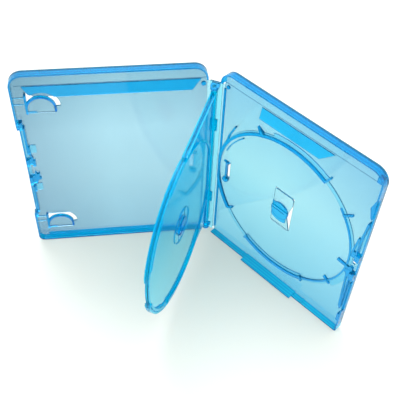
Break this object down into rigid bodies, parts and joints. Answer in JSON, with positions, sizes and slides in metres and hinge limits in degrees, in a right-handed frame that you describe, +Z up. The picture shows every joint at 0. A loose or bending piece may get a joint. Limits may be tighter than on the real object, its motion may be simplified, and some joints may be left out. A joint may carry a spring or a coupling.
{
  "type": "optical disc case",
  "caption": "Open translucent case with two hinged covers on a spine, a flip tray between them and round disc seats with press hubs.",
  "frame": {"origin": "middle of the spine's bottom edge, on the spine's outer face, in the plane the case stands on", "axes": "+Z up along the hinges, +X along the spine's width towards the back cover, +Y outward from the spine; the covers open toward -Y"},
  "size_m": [0.2538, 0.1301, 0.1715],
  "materials": {
    "shell_blue": "glossy translucent",
    "hub_blue": "glossy translucent",
    "film_clear": "clear film"
  },
  "bodies": {
    "spine_body": {"spine": "shell_blue", "front_hinge_web": "shell_blue", "back_hinge_web": "shell_blue", "sleeve_spine": "film_clear"},
    "front_body": {"front_cover": "shell_blue", "sleeve_front": "film_clear"},
    "back_body": {"back_cover": "shell_blue", "sleeve_back": "film_clear"},
    "tray_body": {"flip_tray": "shell_blue"},
    "back_hub_body": {"back_hub": "hub_blue"},
    "tray_hub_body": {"tray_hub": "hub_blue"}
  },
  "joints": [
    {"name": "front_cover_hinge", "type": "hinge", "parent": "spine_body", "child": "front_body", "pos_m": [-0.006, 0, 0], "axis": [0, 0, 1], "range_deg": [-26.5, 63.5], "deforming": ["front_hinge_web"]},
    {"name": "back_cover_hinge", "type": "hinge", "parent": "spine_body", "child": "back_body", "pos_m": [0.006, 0, 0], "axis": [0, 0, 1], "range_deg": [-64.5, 25.5], "deforming": ["back_hinge_web"]},
    {"name": "tray_pivot", "type": "hinge", "parent": "spine_body", "child": "tray_body", "pos_m": [0, -0.0052, 0], "axis": [0, 0, 1], "range_deg": [-60, 60]},
    {"name": "back_hub_press", "type": "slide", "parent": "back_body", "child": "back_hub_body", "axis": [-0.4305, -0.9026, 0], "range_m": [-0.0008, 0], "stiffness_N_per_m": 3000},
    {"name": "tray_hub_press", "type": "slide", "parent": "tray_body", "child": "tray_hub_body", "axis": [1, 0, 0], "range_m": [-0.0008, 0.0008], "stiffness_N_per_m": 3000}
  ]
}
